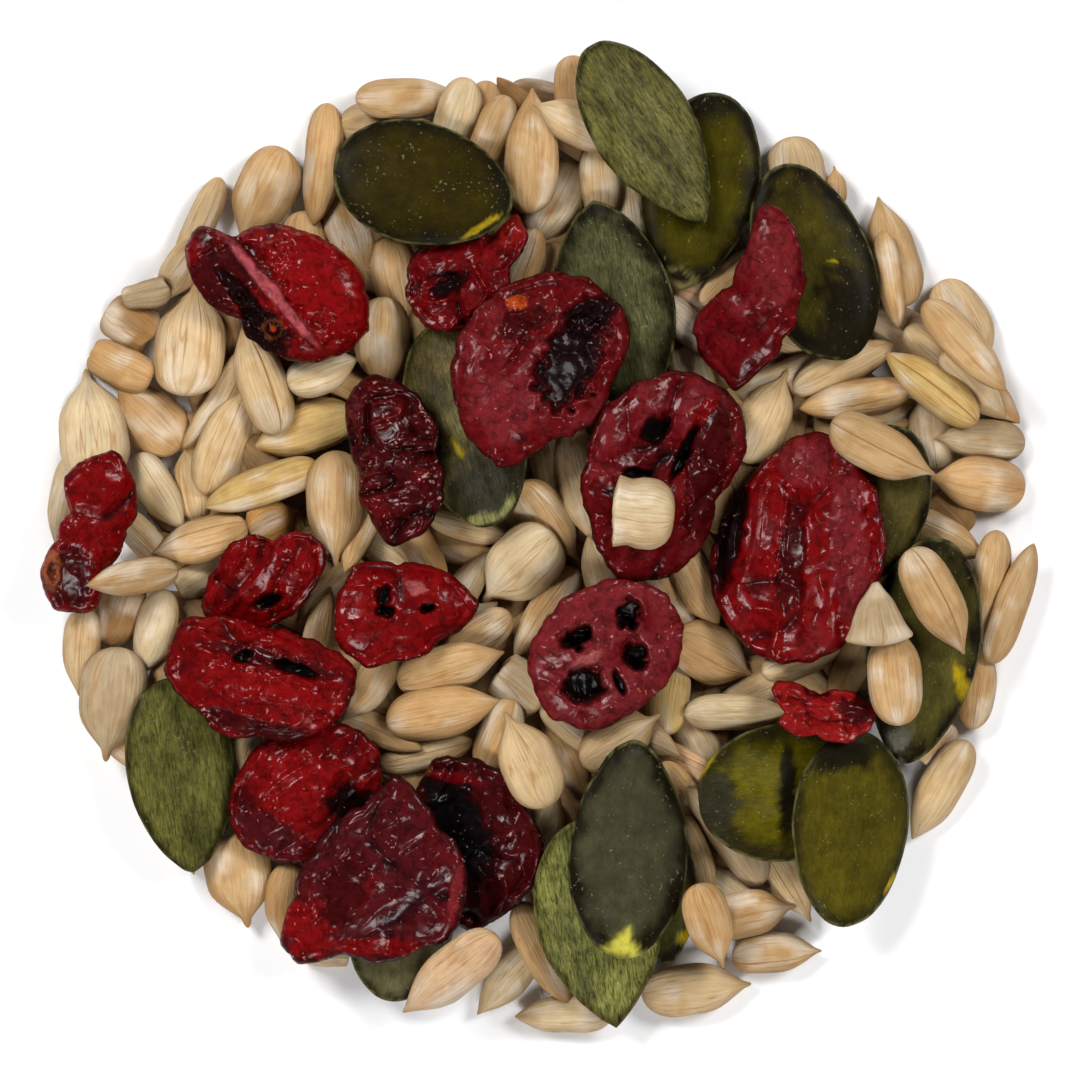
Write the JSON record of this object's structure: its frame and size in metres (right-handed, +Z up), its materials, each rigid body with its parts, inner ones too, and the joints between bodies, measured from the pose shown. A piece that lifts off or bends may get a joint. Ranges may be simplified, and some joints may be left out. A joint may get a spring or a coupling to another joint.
{
  "type": "heap of trail mix",
  "caption": "Round low heap of trail mix seen from above: tan sunflower kernels, dark green pumpkin seeds and wrinkled red dried cranberries, lying on a flat surface.",
  "frame": {"origin": "on the surface the heap lies on, under the middle of its box", "axes": "+Z up; +X to the right and +Y to the top of the heap as seen from straight above"},
  "size_m": [0.089, 0.0898, 0.0149],
  "materials": {
    "kernel": "tan sunflower kernel, satin, fine lengthwise striations",
    "pumpkin_seed": "dark olive green hulled pumpkin seed with a black rim, satin",
    "cranberry": "deep red to near black dried cranberry, wrinkled, moist and slightly glossy"
  },
  "bodies": {
    "root": {"sunflower_kernels": "kernel", "kernel_over_right_seed": "kernel", "kernel_over_dark_cranberry": "kernel", "kernel_over_bottom_seed": "kernel", "kernel_over_hidden_seed": "kernel", "kernel_over_left_cranberry": "kernel", "kernel_on_cranberry": "kernel", "kernel_on_seed_lower": "kernel", "kernel_on_seed_upper": "kernel", "kernel_chip": "kernel", "pumpkin_seed_top_right_lower": "pumpkin_seed", "pumpkin_seed_top_right_upper": "pumpkin_seed", "pumpkin_seed_top_middle": "pumpkin_seed", "pumpkin_seed_middle_left": "pumpkin_seed", "pumpkin_seed_top_left": "pumpkin_seed", "pumpkin_seed_right_upper": "pumpkin_seed", "pumpkin_seed_right_middle": "pumpkin_seed", "pumpkin_seed_left_lower": "pumpkin_seed", "pumpkin_seed_bottom_left": "pumpkin_seed", "pumpkin_seed_bottom_hidden": "pumpkin_seed", "pumpkin_seed_bottom_lower": "pumpkin_seed", "pumpkin_seed_bottom_upper": "pumpkin_seed", "pumpkin_seed_lower_right_lower": "pumpkin_seed", "pumpkin_seed_lower_right_upper": "pumpkin_seed", "pumpkin_seed_right_rim": "pumpkin_seed", "cranberry_folded": "cranberry", "cranberry_crumpled": "cranberry", "cranberry_strip_right": "cranberry", "cranberry_left_rim": "cranberry", "cranberry_oval_dark": "cranberry", "cranberry_cup": "cranberry", "cranberry_twin_hollow": "cranberry", "cranberry_big_oval": "cranberry", "cranberry_square_left": "cranberry", "cranberry_heart": "cranberry", "cranberry_lower_left": "cranberry", "cranberry_wide_left": "cranberry", "cranberry_near_black": "cranberry", "cranberry_trapezoid": "cranberry", "cranberry_ring": "cranberry", "cranberry_torn_strip": "cranberry"}
  },
  "joints": []
}
